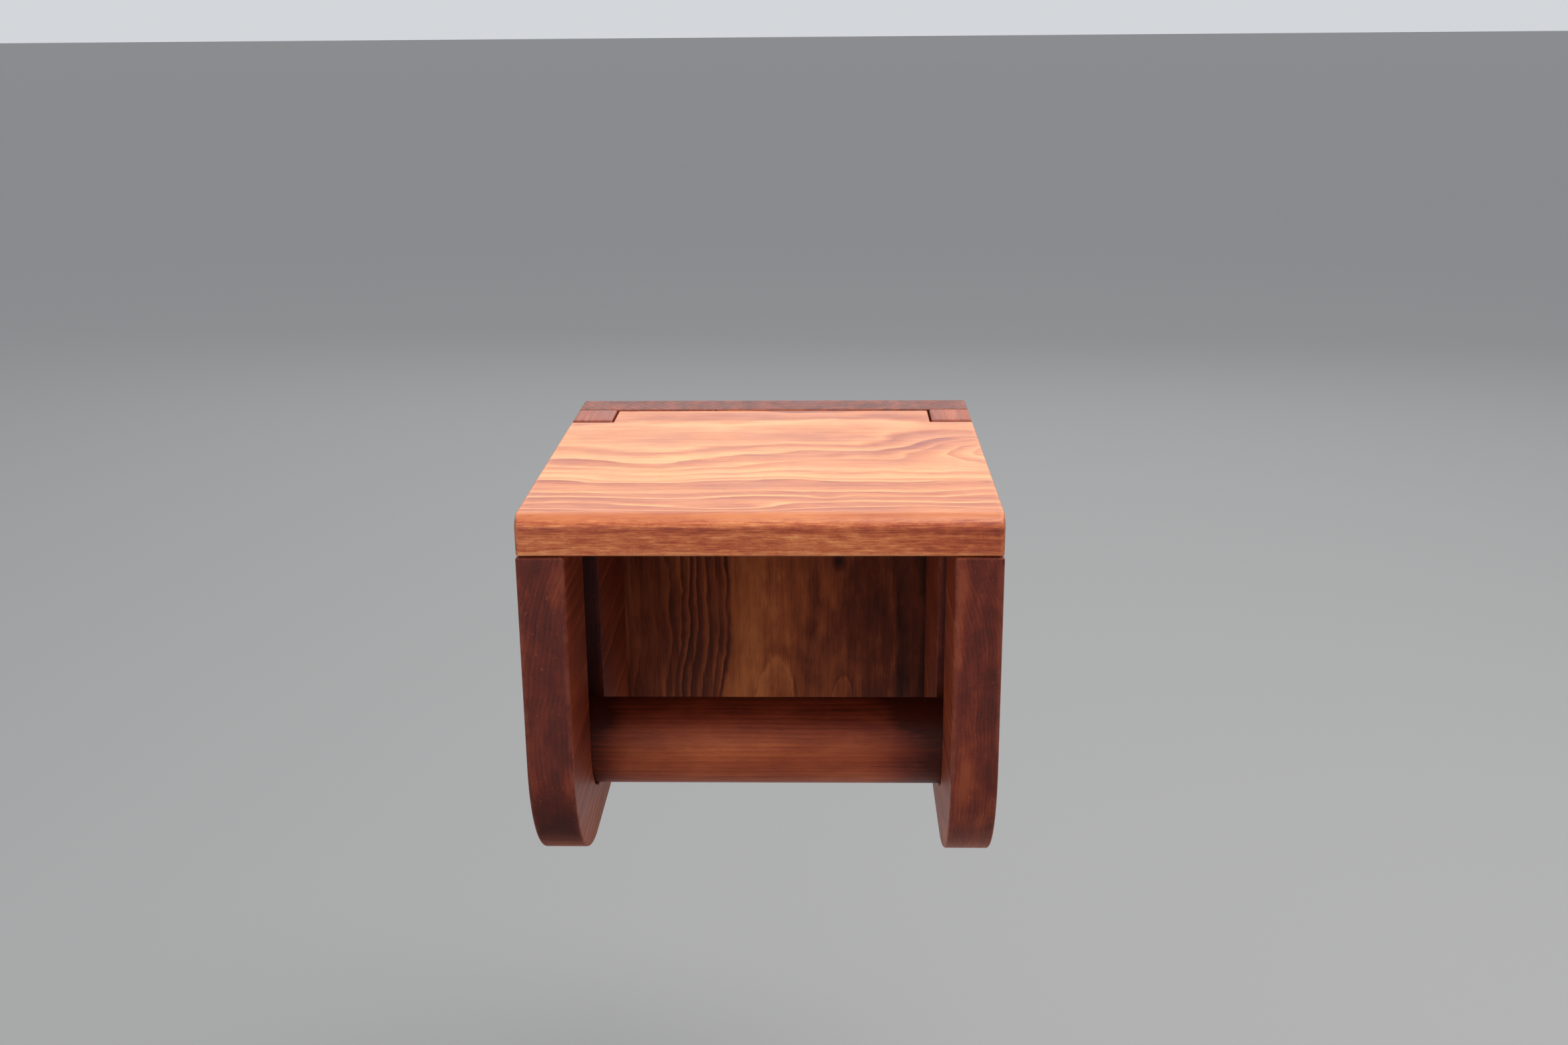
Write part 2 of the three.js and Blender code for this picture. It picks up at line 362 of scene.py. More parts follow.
def wood(name, grain, colours, figure, fibre=0.16, blotch=0.2, blotch_size=(34, 18), edge=None, edge_colour=None,
         edge_amount=0.5, end=0.42, end_figure=None, rough=0.42, spec=0.5, coat=0.2, seed=0.0, fleck=0.35, front_fibre=0.0,
         end_spots=0.0, groove=False, end_tint=(1.35, 1.0, 1.05), spec_top=None, spec_foot=None):
    t = Tree(name)
    x, y, z = t.xyz(t.coord.outputs["Object"])
    x = t.math("MULTIPLY", x, 1000.0)
    y = t.math("MULTIPLY", y, 1000.0)
    z = t.math("MULTIPLY", z, 1000.0)
    order = {"x": (x, y, z), "y": (y, x, z), "z": (z, x, y)}[grain]
    g = (t.math("ADD", order[0], seed * 371.0), t.math("ADD", order[1], seed * 53.0), t.math("ADD", order[2], seed * 17.0))
    nx, ny, nz = t.xyz(t.coord.outputs["Normal"])
    along = {"x": nx, "y": ny, "z": nz}[grain]
    endm = t.range(t.math("ABSOLUTE", along), 0.42, 0.86)
    long_tone = figure(t, x, y, z, g)
    # fibres: very long and very thin
    fib = t.noise(scaled(t, g, 24, 0.55, 0.55), 1.0, 4.0, 0.62)
    fib2 = t.noise(scaled(t, g, 8, 0.24, 0.24), 1.0, 2.0, 0.6)
    streak = t.noise(scaled(t, g, 55, 2.2, 2.2), 1.0, 3.0, 0.55)
    blot = t.noise(scaled(t, g, blotch_size[0], blotch_size[1], blotch_size[1]), 1.0, 3.0, 0.55)
    lot = t.math("MULTIPLY", t.math("SUBTRACT", fib, 0.5), fibre * 2.4)
    lot = t.math("ADD", lot, t.math("MULTIPLY", t.math("SUBTRACT", fib2, 0.5), fibre * 1.6))
    lot = t.math("ADD", lot, t.math("MULTIPLY", t.math("SUBTRACT", streak, 0.5), fibre * 2.6))
    if front_fibre:
        face = t.range(ny, -0.85, -0.35, 1.0, 0.0)
        coarse = t.noise(scaled(t, g, 13, 0.5, 0.5), 1.0, 4.0, 0.75)
        mottle = t.noise(scaled(t, g, 5.0, 1.6, 1.6), 1.0, 4.0, 0.75)
        extra = t.math("ADD", t.math("MULTIPLY", t.math("SUBTRACT", coarse, 0.5), front_fibre), t.math("MULTIPLY", t.math("SUBTRACT", mottle, 0.5), front_fibre * 0.8))
        lot = t.math("ADD", lot, t.math("MULTIPLY", face, extra))
        # a darker band under the nose and a paler, worn foot
        lot = t.math("ADD", lot, t.math("MULTIPLY", face, t.math("ADD", hump(t, z, x, 64.6, 0.0, 1.5, 900.0, -0.17), t.math("ADD", hump(t, z, x, 57.0, 0.0, 1.6, 900.0, 0.03), hump(t, x, z, 80.0, 58.0, 24.0, 9.0, -0.26)))))
        long_tone = t.math("ADD", t.math("MULTIPLY", t.math("SUBTRACT", long_tone, 0.52), t.math("SUBTRACT", 1.0, t.math("MULTIPLY", face, 0.62))), 0.52)
    tone = t.math("ADD", long_tone, lot)
    mud = t.math("MULTIPLY", t.math("SUBTRACT", blot, 0.5), blotch * 2.0)
    tone = t.math("ADD", tone, mud, clamp=True)
    dark, low, high, pale = colours
    ramp = [(0.03, dark), (0.34, low), (0.66, high), (0.97, pale)]
    col = t.ramp(tone, ramp)
    if front_fibre:
        col = t.mix(face, col, t.mix(1.0, col, (1.02, 0.92, 0.89), "MULTIPLY"))
    # short dark flecks of stain caught in the open pores
    fl = t.noise(scaled(t, g, 4.5, 0.36, 0.36), 1.0, 1.0, 0.4)
    flk = t.range(fl, 0.60, 0.72, 0.0, fleck)
    col = t.mix(flk, col, t.mix(1.0, col, (0.50, 0.40, 0.40), "MULTIPLY"))
    # end grain drinks far more stain; open cells show as dark and pale specks
    cell = t.noise(scaled(t, g, 2.2, 0.42, 0.42), 1.0, 3.0, 0.75)
    soak = t.noise(scaled(t, g, 30, 5.5, 9.0), 1.0, 4.0, 0.62)
    et = end_figure(t, x, y, z, g) if end_figure else tone
    et = t.math("ADD", et, t.math("MULTIPLY", t.math("SUBTRACT", cell, 0.5), 0.55))
    et = t.math("ADD", et, t.math("MULTIPLY", t.math("SUBTRACT", soak, 0.5), 0.9 + end_spots), clamp=True)
    endc = t.mix(1.0, t.ramp(et, ramp), tuple(end * c for c in end_tint), "MULTIPLY")
    speck = t.range(t.noise(scaled(t, g, 0.9, 0.75, 0.9), 1.0, 0.0, 0.5), 0.80, 0.86, 0.0, 0.36)
    endc = t.mix(speck, endc, srgb(176, 108, 78))
    col = t.mix(endm, col, endc)
    # painted shade: the inside of each cheek's groove is darkened, with some stain soaked into its rougher walls
    if groove:
        deep = t.math("MULTIPLY", t.range(t.math("ABSOLUTE", x), IN + 0.9, IN + 2.6), t.range(t.math("ABSOLUTE", x), IN + GROOVE_D + 0.3, IN + GROOVE_D + 0.8, 1.0, 0.0))
        deep = t.math("MULTIPLY", deep, t.math("MULTIPLY", t.range(t.math("ABSOLUTE", t.math("SUBTRACT", y, GROOVE_Y)), GROOVE_W / 2 + 0.5, GROOVE_W / 2 + 1.2, 1.0, 0.0), t.range(z, SEAT_Z - GROOVE_W / 2 - 1.5, SEAT_Z - GROOVE_W / 2 - 0.8)))
        col = t.mix(deep, col, t.mix(1.0, col, (0.50, 0.42, 0.40), "MULTIPLY"))
    # worn arrises, partly painted highlight: the lighter arris colour is wear and also stands in for the sheen the
    # rounded edges catch
    if edge is not None:
        near = edge(t, x, y, z)
        grit = t.noise(scaled(t, (x, y, z), 6.0, 6.0, 6.0), 1.0, 4.0, 0.65)
        wear_and_highlight = t.math("MULTIPLY", near, t.range(grit, 0.38, 0.64, 0.1, 1.0))
        wear_and_highlight = t.math("MULTIPLY", wear_and_highlight, edge_amount)
        col = t.mix(wear_and_highlight, col, edge_colour or high)
    t.nt.links.new(col, t.bsdf.inputs["Base Color"])
    ro = t.math("ADD", t.math("MULTIPLY", t.math("SUBTRACT", fib, 0.5), -0.30), rough)
    ro = t.math("ADD", ro, t.math("MULTIPLY", endm, 0.10))
    ro = t.math("ADD", ro, t.math("MULTIPLY", t.math("SUBTRACT", blot, 0.5), 0.16), clamp=True)
    t.nt.links.new(ro, t.bsdf.inputs["Roughness"])
    if spec_top is None and spec_foot is None:
        t.bsdf.inputs["Specular IOR Level"].default_value = spec
    else:
        # the finish lies thicker on the faces that were laid flat to dry, thinner at the foot
        level = t.range(nz, 0.5, 0.9, spec, spec if spec_top is None else spec_top)
        if spec_foot is not None:
            level = t.math("MULTIPLY", level, t.range(z, BOTTOM, BOTTOM + 50.0, spec_foot / spec, 1.0))
        t.nt.links.new(level, t.bsdf.inputs["Specular IOR Level"])
    t.bsdf.inputs["Coat Weight"].default_value = coat
    t.bsdf.inputs["Coat Roughness"].default_value = 0.28
    t.bsdf.inputs["IOR"].default_value = 1.48
    # relief: raised summer wood, open fibres, hand sanding
    h = t.math("MULTIPLY", long_tone, 0.03)
    h = t.math("ADD", h, t.math("MULTIPLY", fib, 0.09))
    h = t.math("ADD", h, t.math("MULTIPLY", fib2, 0.05))
    h = t.math("SUBTRACT", h, t.math("MULTIPLY", flk, 0.07))
    h = t.math("ADD", h, t.math("MULTIPLY", t.math("MULTIPLY", cell, endm), 0.10))
    wave = t.noise(scaled(t, (x, y, z), 15.0, 15.0, 15.0), 1.0, 1.0, 0.4)
    h = t.math("ADD", h, t.math("MULTIPLY", wave, 0.30))
    t.nt.links.new(t.bump(h, 0.001, 0.85), t.bsdf.inputs["Normal"])
    return t.mat


def ring_profile(t, phase, sharp=0.86, spread=0.35):
    """Growth rings: tone rises slowly through a ring, then falls at a crisp line; every ring differs a little."""
    ring = t.math("FLOOR", phase)
    part = t.math("FRACT", phase)
    lot = t.white(t.math("ADD", ring, 0.5))
    tone = t.ramp(part, [(0.0, 0.0), (0.09, 0.10), (0.42, 0.42), (sharp - 0.18, 0.74), (sharp, 1.0), (min(sharp + 0.07, 0.985), 0.86), (1.0, 0.0)])
    return t.math("ADD", tone, t.math("MULTIPLY", t.math("SUBTRACT", lot, 0.5), spread))


def soft_rings(t, g, r, spacing, amount, mid, seed=0.0, along=26.0, across=9.0):
    """Low-contrast rings that come and go along the board."""
    tone = ring_profile(t, t.math("MULTIPLY", r, 1.0 / spacing), 0.78, 0.6)
    show = t.noise(scaled(t, g, along, across, across), 1.0, 2.0, 0.6)
    k = t.range(show, 0.36, 0.62, amount * 0.15, amount)
    return t.math("ADD", t.math("MULTIPLY", t.math("SUBTRACT", tone, 0.5), k), mid)


def radius(t, a, b, a0, b0):
    p = t.math("SUBTRACT", a, a0)
    q = t.math("SUBTRACT", b, b0)
    return t.math("SQRT", t.math("ADD", t.math("MULTIPLY", p, p), t.math("MULTIPLY", q, q)))


def wander(t, g, la, lb, amount, detail=1.5):
    n = t.noise(scaled(t, g, la, lb, lb), 1.0, detail, 0.45)
    return t.math("MULTIPLY", t.math("SUBTRACT", n, 0.5), 2.0 * amount)


def lid_figure(t, x, y, z, g):
    """Flat-sawn board: the rings' centre line lies 150 mm below the top and 60 mm in front of the wall."""
    r = radius(t, y, z, -60.0, TOP - 150.0)
    r = t.math("ADD", r, wander(t, g, 60, 40, 3.6))
    r = t.math("ADD", r, wander(t, g, 17, 9, 0.9, 3.0))
    r = t.math("ADD", r, hump(t, x, y, 98, -84, 40, 22, 15.0))         # arches opening to the right edge
    r = t.math("ADD", r, hump(t, x, y, 12, -98, 40, 24, 1.8))
    r = t.math("ADD", r, hump(t, x, y, -11, -158.8, 17, 3.4, -3.8))    # lens-shaped island near the front
    r = t.math("ADD", r, hump(t, x, y, 22, -147.7, 5, 3.5, -1.8))
    r = t.math("ADD", r, hump(t, x, y, 58, -161, 22, 5, 2.4))
    r = t.math("ADD", r, hump(t, x, y, -58, -152, 20, 6, 1.6))
    lines = [(149, .52), (150.2, .66), (151.3, .84), (152.2, .40), (153.0, .60), (154.0, .84), (154.7, .84), (154.95, .26), (156.2, .46),
             (157.4, .84), (157.7, .54), (159.2, .78), (160.3, .92), (160.6, .60), (162.0, .88), (162.9, .96), (163.3, .66), (164.4, .90), (164.75, .24), (166.0, .38)]
    front = [(166.0, .38), (168.6, .56), (169.9, .86), (170.3, 1.0), (170.55, .30),
             (172.0, .42), (172.8, .90), (173.2, 1.0), (173.45, .28), (175.6, .44), (176.9, .92), (177.3, 1.0), (177.55, .30), (180.4, .46),
             (181.1, .90), (181.5, .30), (184.0, .52), (186.0, .46), (190, .55)]
    rear_tone = t.ramp(t.math("MULTIPLY", t.math("SUBTRACT", r, 149.0), 1.0 / 17.0), stops(lines, 149.0, 166.0))
    front_tone = t.ramp(t.math("MULTIPLY", t.math("SUBTRACT", r, 166.0), 1.0 / 24.0), stops(front, 166.0, 190.0))
    show = t.noise(scaled(t, g, 42, 20, 20), 1.0, 2.0, 0.6)
    rear_tone = t.math("ADD", t.math("MULTIPLY", t.math("SUBTRACT", rear_tone, 0.74), t.range(show, 0.36, 0.60, 0.35, 1.0)), 0.74)
    wane = t.noise(scaled(t, g, 30, 7, 7), 1.0, 3.0, 0.6)
    front_tone = t.math("ADD", t.math("MULTIPLY", t.math("SUBTRACT", front_tone, 0.66), t.range(wane, 0.36, 0.62, 0.30, 0.86)), 0.66)
    tone = t.mix(t.math("GREATER_THAN", r, 166.0), rear_tone, front_tone)
    # a paler patch left of the middle and along the rear, darker by the right-hand arches
    tone = t.math("ADD", tone, hump(t, x, y, -38.0, -96.0, 34.0, 26.0, 0.10))
    tone = t.math("ADD", tone, hump(t, x, y, 0.0, -42.0, 60.0, 14.0, 0.13))
    tone = t.math("SUBTRACT", tone, t.range(y, -42.0, -22.0, 0.0, 0.20))
    return t.math("ADD", tone, hump(t, x, y, 66.0, -72.0, 30.0, 34.0, -0.15))


def plate_figure(t, x, y, z, g):
    """Grain upright: fine wavy rings on the left, a wide plain middle, darker rings on the right under painted shade,
    two arches low down.
    """
    sway = t.math("MULTIPLY", t.math("SINE", t.math("MULTIPLY", t.math("ADD", z, 40.0), 1 / 26.0)), -1.3)
    xs = t.math("ADD", x, sway)
    xs = t.math("ADD", xs, wander(t, g, 46, 26, 5.0))
    xs = t.math("ADD", xs, wander(t, g, 13, 6, 1.7, 4.0))
    xs = t.math("ADD", xs, wander(t, g, 4.5, 2.0, 0.45, 3.0))
    xs = t.math("ADD", xs, t.math("MULTIPLY", t.math("ADD", y, PLATE), 0.45))
    left = ring_profile(t, t.math("ADD", t.math("MULTIPLY", t.math("ADD", xs, 72.0), 1 / 4.15), t.math("MULTIPLY", t.math("SINE", t.math("MULTIPLY", xs, 0.31)), 0.25)), 0.80, 0.5)
    show = t.noise(scaled(t, g, 30, 12, 12), 1.0, 2.0, 0.6)
    left = t.math("ADD", t.math("MULTIPLY", t.math("SUBTRACT", left, 0.5), t.math("MULTIPLY", t.range(show, 0.34, 0.62, 0.14, 0.44), t.range(xs, -52.0, -44.0, 0.25, 1.0))), 0.43)
    lines = [(-80, .35), (-25, .30), (-21.2, .26), (-19.6, .70), (-15, .84), (-8, .80), (-3, .68), (4, .62), (12, .60), (14.5, .44),
             (18, .54), (26, .50), (34, .38), (42, .46), (46.2, .50), (48.0, .20), (50.5, .34), (54, .46), (56.6, .34), (58.6, .16), (61, .32),
             (65, .36), (70, .22), (80, .30)]
    slant = t.math("ADD", xs, t.math("MULTIPLY", t.range(xs, 15.0, 40.0), t.math("MULTIPLY", t.math("SUBTRACT", z, 20.0), 0.085)))
    flat = t.ramp(t.math("MULTIPLY", t.math("ADD", slant, 80.0), 1.0 / 160.0), stops(lines, -80.0, 80.0))
    tone = t.mix(t.range(xs, -21.8, -20.4), left, flat)
    # arches: pale inside a darker rim, opening downwards
    for a0, top, half, length, strength in ((0.5, -38.5, 9.5, 22.0, 0.22), (30.0, -48.0, 4.0, 10.0, 0.20)):
        d = t.math("MULTIPLY", t.math("SUBTRACT", xs, a0), 1.0 / half)
        d = t.math("MULTIPLY", t.math("MULTIPLY", d, d), t.math("ABSOLUTE", d))
        q = t.math("SUBTRACT", t.math("MULTIPLY", t.math("SUBTRACT", top, z), 1.0 / length), d)
        q = t.math("ADD", q, wander(t, g, 6, 2.2, 0.26, 4.0))
        fade = t.range(z, top - 46.0, top - 20.0)
        arch = t.ramp(t.math("ADD", q, 0.5, clamp=True), [(0.0, 0.5), (0.18, 0.48), (0.40, 0.37), (0.50, 0.46), (0.68, 0.74), (0.84, 0.68), (1.0, 0.62)])
        tone = t.math("ADD", tone, t.math("MULTIPLY", t.math("MULTIPLY", t.math("SUBTRACT", arch, 0.5), strength / 0.30), fade))
    # a small knot
    tone = t.math("ADD", tone, hump(t, x, z, 27.5, 3.2, 2.2, 3.4, -0.5))
    tone = t.math("ADD", tone, hump(t, x, z, 36, -22, 14, 14, -0.14))
    # soft mottling of the wide plain middle
    cloud = t.noise(scaled(t, g, 15, 6, 6), 1.0, 3.0, 0.6)
    tone = t.math("ADD", tone, t.math("MULTIPLY", t.math("MULTIPLY", t.math("SUBTRACT", cloud, 0.5), 0.55), t.range(x, -24.0, -8.0)))
    # painted shade: the board is darker towards the right-hand cheek, where the bay lies in shade
    return t.math("SUBTRACT", tone, t.range(x, 26.0, 62.0, 0.0, 0.14))


def plate_end(t, x, y, z, g):
    r = radius(t, x, y, 12.0, 46.0)
    r = t.math("ADD", r, wander(t, g, 60, 20, 2.0))
    tone = ring_profile(t, t.math("MULTIPLY", r, 1 / 3.0), 0.80, 0.4)
    return t.math("ADD", t.math("MULTIPLY", t.math("SUBTRACT", tone, 0.5), 0.16), 0.42)


def cheek_figure(side):
    def f(t, x, y, z, g):
        r = radius(t, x, z, side * 40.0, 8.0 - 60.0 * side)
        r = t.math("ADD", r, wander(t, g, 150, 40, 9.0))
        r = t.math("ADD", r, wander(t, g, 34, 9, 1.1, 2.0))
        r = t.math("ADD", r, t.math("MULTIPLY", t.math("SINE", t.math("MULTIPLY", r, 0.19)), 1.9))
        tone = soft_rings(t, g, r, 4.6, 0.34, 0.44 if side > 0 else 0.30, along=70.0, across=12.0)
        tone = t.math("ADD", tone, hump(t, y, z, -28.0, 69.0, 16.0, 9.0, 0.16 if side > 0 else 0.22))
        # painted light: the lower part is paler, for the light on the lower inner face below the roller
        return t.math("ADD", tone, t.range(z, -20.0, -60.0, 0.0, 0.22 if side > 0 else 0.36))
    return f


def cheek_end(side):
    def f(t, x, y, z, g):
        # rings seen end on: nearly upright arcs, leaning at the top
        if side > 0:
            zz = t.math("SUBTRACT", z, 8.0)
            zz = t.math("ADD", t.math("MULTIPLY", t.math("MAXIMUM", zz, 0.0), 0.85), t.math("MULTIPLY", t.math("MINIMUM", zz, 0.0), 0.12))
            r = radius(t, x, zz, -24.0, 0.0)
            spacing, amount = 1.35, 0.26
        else:
            r = radius(t, x, z, 150.0, -20.0)
            spacing, amount = 1.7, 0.20
        r = t.math("ADD", r, wander(t, g, 60, 16, 1.8))
        r = t.math("ADD", r, wander(t, g, 30, 3.6, 0.35, 2.0))
        tone = soft_rings(t, g, r, spacing, amount, 0.42, across=13.0)
        smear = t.noise(scaled(t, (x, y, z), 2.6, 30.0, 12.0), 1.0, 4.0, 0.65)
        tone = t.math("ADD", tone, t.math("MULTIPLY", t.math("SUBTRACT", smear, 0.5), 0.55))
        # painted shade: the broad dark patch at the foot, (72, -70) on the right and (-72, -66) on the left, darkens
        # the rounded lower front
        if side > 0:
            for a0, b0, ra, rb, v in ((66.6, 45.0, 2.0, 9.0, 0.56), (65.6, 27.0, 1.4, 16.0, 0.44), (68.6, -27.0, 3.0, 17.0, 0.56), (75.0, -44.0, 3.0, 12.0, 0.30), (72.0, -70.0, 30.0, 10.0, -0.16), (76.5, 8.0, 3.5, 22.0, -0.16), (78.4, 40.0, 1.6, 16.0, 0.26)):
                tone = t.math("ADD", tone, hump(t, x, z, a0, b0, ra, rb, v))
        else:
            for a0, b0, ra, rb, v in ((-66.6, 47.7, 2.2, 5.4, 0.44), (-68.2, 41.0, 1.8, 4.0, 0.34), (-66.3, -28.0, 2.0, 6.0, 0.44), (-78.0, -22.0, 2.4, 12.0, 0.28), (-69.0, 10.0, 4.5, 40.0, -0.10), (-72.0, -66.0, 30.0, 30.0, -0.55), (-72.0, 60.0, 30.0, 24.0, -0.04)):
                tone = t.math("ADD", tone, hump(t, x, z, a0, b0, ra, rb, v))
        return tone
    return f


def roller_figure(t, x, y, z, g):
    r = radius(t, y, z, GROOVE_Y + 10.0, ROLLER_Z + 52.0)
    r = t.math("ADD", r, wander(t, g, 60, 20, 0.9))
    r = t.math("ADD", r, wander(t, g, 18, 4, 0.22, 2.0))
    tone = soft_rings(t, g, r, 1.75, 0.16, 0.66, along=34.0, across=7.0)
    # painted shade: the upper side, under the lid, is darker
    tone = t.math("SUBTRACT", tone, t.range(z, ROLLER_Z + 5.0, ROLLER_Z + 15.0, 0.0, 0.42))
    hair = t.noise(scaled(t, g, 70, 0.8, 0.8), 1.0, 3.0, 0.7)
    low = t.range(z, ROLLER_Z - 16.0, ROLLER_Z + 2.0, 0.62, 0.22)
    tone = t.math("ADD", tone, t.math("MULTIPLY", t.math("SUBTRACT", hair, 0.5), low))
    # painted shade: darker near the ends, where the cheeks shade the roller in its grooves, and further in on the right
    tone = t.math("SUBTRACT", tone, t.range(x, -50.0, -66.0, 0.0, 0.50))
    tone = t.math("SUBTRACT", tone, t.range(x, 34.0, 62.0, 0.0, 0.62))
    # painted light: paler over the lit middle and lower right
    tone = t.math("ADD", tone, hump(t, x, z, -22.0, ROLLER_Z + 1.0, 26.0, 8.0, 0.16))
    tone = t.math("ADD", tone, hump(t, x, z, 40.0, ROLLER_Z - 9.0, 20.0, 5.0, 0.14))
    return tone


def near_box_arris(x0, x1, y0, y1, z0, z1, reach=2.2):
    """Closeness to the arrises of a box: 1 at an arris, 0 from reach millimetres away."""
    def f(t, x, y, z):
        ds = []
        for c, a, b in ((x, x0, x1), (y, y0, y1), (z, z0, z1)):
            ds.append(t.math("MINIMUM", t.math("SUBTRACT", c, a), t.math("SUBTRACT", b, c)))
        a, b, c = ds
        ab = t.math("SQRT", t.math("ADD", t.math("MULTIPLY", a, a), t.math("MULTIPLY", b, b)))
        bc = t.math("SQRT", t.math("ADD", t.math("MULTIPLY", b, b), t.math("MULTIPLY", c, c)))
        ca = t.math("SQRT", t.math("ADD", t.math("MULTIPLY", c, c), t.math("MULTIPLY", a, a)))
        d = t.math("MINIMUM", ab, t.math("MINIMUM", bc, ca))
        return t.range(d, 0.5, reach, 1.0, 0.0)
    return f


def near_cheek_arris(side, reach=2.2):
    """The same for a cheek, following its rounded lower front corner."""
    def f(t, x, y, z):
        s = t.math("SUBTRACT", 8.0, t.math("ABSOLUTE", t.math("SUBTRACT", x, side * 72.0)))
        cy_, cz_ = -DEPTH + CORNER_R, BOTTOM + CORNER_R
        # inside distance to the outline: front, bottom and the corner arc
        front = t.math("ADD", y, DEPTH)
        bottom = t.math("SUBTRACT", z, BOTTOM)
        dy = t.math("MAXIMUM", t.math("SUBTRACT", cy_, y), 0.0)
        dz = t.math("MAXIMUM", t.math("SUBTRACT", cz_, z), 0.0)
        corner = t.math("SUBTRACT", CORNER_R, t.math("SQRT", t.math("ADD", t.math("MULTIPLY", dy, dy), t.math("MULTIPLY", dz, dz))))
        top = t.math("SUBTRACT", CHEEK_TOP, z)
        o = t.math("MINIMUM", t.math("MINIMUM", front, bottom), t.math("MINIMUM", corner, t.math("ABSOLUTE", top)))
        d = t.math("SQRT", t.math("ADD", t.math("MULTIPLY", s, s), t.math("MULTIPLY", o, o)))
        return t.range(d, 0.5, reach, 1.0, 0.0)
    return f


def metal(name, colour, rough, scale=1.0, seed=0.0, stain=None):
    t = Tree(name)
    p = t.coord.outputs["Object"]
    x, y, z = t.xyz(p)
    q = t.vec(t.math("MULTIPLY", x, 1000.0), t.math("MULTIPLY", y, 1000.0), t.math("MULTIPLY", z, 1000.0))
    big = t.noise(q, 0.35 * scale, 3.0, 0.6, 0.4)
    fine = t.noise(t.vec(t.math("MULTIPLY", x, 6000.0), t.math("MULTIPLY", y, 1100.0), t.math("MULTIPLY", z, 900.0)), 1.0, 3.0, 0.6)
    spot = t.range(t.noise(q, 1.6, 2.0, 0.6), 0.60, 0.74)
    col = t.mix(t.range(big, 0.3, 0.7), tuple(0.72 * c for c in colour), colour)
    col = t.mix(t.range(fine, 0.3, 0.7, 0.0, 0.35), col, tuple(min(1.0, 1.25 * c) for c in colour))
    col = t.mix(t.math("MULTIPLY", spot, 0.55), col, stain or (0.16, 0.11, 0.07))
    t.nt.links.new(col, t.bsdf.inputs["Base Color"])
    t.bsdf.inputs["Metallic"].default_value = 1.0
    ro = t.math("ADD", t.math("MULTIPLY", t.math("SUBTRACT", big, 0.5), 0.3), rough)
    ro = t.math("ADD", ro, t.math("MULTIPLY", spot, 0.25), clamp=True)
    t.nt.links.new(ro, t.bsdf.inputs["Roughness"])
    t.nt.links.new(t.bump(t.math("ADD", t.math("MULTIPLY", fine, 0.02), t.math("MULTIPLY", big, 0.05)), 0.001, 0.6), t.bsdf.inputs["Normal"])
    return t.mat


# colours: darkest, low, high, palest
LID_COLS = (srgb(134, 50, 25), srgb(172, 79, 38), srgb(210, 124, 70), srgb(234, 169, 107))
PLATE_COLS = (srgb(60, 24, 13), srgb(108, 46, 25), srgb(170, 87, 47), srgb(218, 128, 71))
CHEEK_COLS = (srgb(92, 34, 19), srgb(126, 50, 29), srgb(162, 76, 44), srgb(192, 106, 64))
ROLL_COLS = (srgb(66, 22, 13), srgb(120, 47, 27), srgb(154, 70, 39), srgb(184, 95, 53))

lid_mat = wood("stained_pine_lid", "x", LID_COLS, lid_figure, fibre=0.14, blotch=0.14, front_fibre=1.35,
               edge=near_box_arris(-HALF, HALF, -DEPTH, SHOULDER, LID_UNDER, TOP), edge_colour=srgb(222, 142, 92), edge_amount=0.5,
               end=0.5, seed=1.0, spec=0.5, coat=0.15, rough=0.42)
plate_mat = wood("stained_pine_back", "z", PLATE_COLS, plate_figure, fibre=0.13, blotch=0.2, blotch_size=(26, 14),
                 edge=near_box_arris(-HALF, HALF, -PLATE, 0, BOTTOM, TOP), edge_amount=0.3, end=0.62, end_figure=plate_end, seed=2.0, spec=0.18, coat=0.0, spec_top=0.72)
left_mat = wood("stained_pine_left_cheek", "y", CHEEK_COLS, cheek_figure(-1), end_figure=cheek_end(-1), fibre=0.15, blotch=0.24,
                edge=near_cheek_arris(-1), edge_colour=srgb(150, 82, 60), edge_amount=0.3, end=0.35, seed=3.0, spec=0.36, coat=0.0, end_spots=-0.1, groove=True, end_tint=(1.34, 0.87, 0.76), spec_top=0.40, spec_foot=0.05)
right_mat = wood("stained_pine_right_cheek", "y", CHEEK_COLS, cheek_figure(1), end_figure=cheek_end(1), fibre=0.15, blotch=0.24,
                 edge=near_cheek_arris(1), edge_colour=srgb(150, 82, 60), edge_amount=0.3, end=0.37, seed=4.0, spec=0.36, coat=0.0, end_spots=0.15, groove=True, end_tint=(1.34, 0.88, 0.74), spec_top=0.34, spec_foot=0.20)
roller_mat = wood("stained_pine_roller", "x", ROLL_COLS, roller_figure, fibre=0.11, blotch=0.26, blotch_size=(16, 9), seed=5.0, spec=0.22, coat=0.0, end=0.6)
steel_mat = metal("drawn_steel", (0.62, 0.61, 0.59), 0.34, seed=1.0)
yellow_mat = metal("yellow_zinc", (0.76, 0.62, 0.30), 0.32, seed=2.0)
zinc_mat = metal("bright_zinc", (0.72, 0.73, 0.74), 0.30, seed=3.0)

# ------------------------------------------------------------------------------------------------
# Back plate
# ------------------------------------------------------------------------------------------------
def round_rect(w, h, r, cx, cz, steps=6):
    return (arc(cx + w / 2 - r, cz - h / 2 + r, r, -90, 0, steps) + arc(cx + w / 2 - r, cz + h / 2 - r, r, 0, 90, steps)
            + arc(cx - w / 2 + r, cz + h / 2 - r, r, 90, 180, steps) + arc(cx - w / 2 + r, cz - h / 2 + r, r, 180, 270, steps))


def screw_hole(name, x, z, d, head, cone, sunk, reach):
    y0 = -sunk
    return turned(name, [(0, y0 - reach), (d / 2 + 0.3, y0 - reach), (d / 2 + 0.3, y0 - cone - 0.3), (head / 2 + 0.3, y0 - 0.65),
                         (head / 2 + 0.3, 2.0), (0, 2.0)], "y", (x, z), 36)


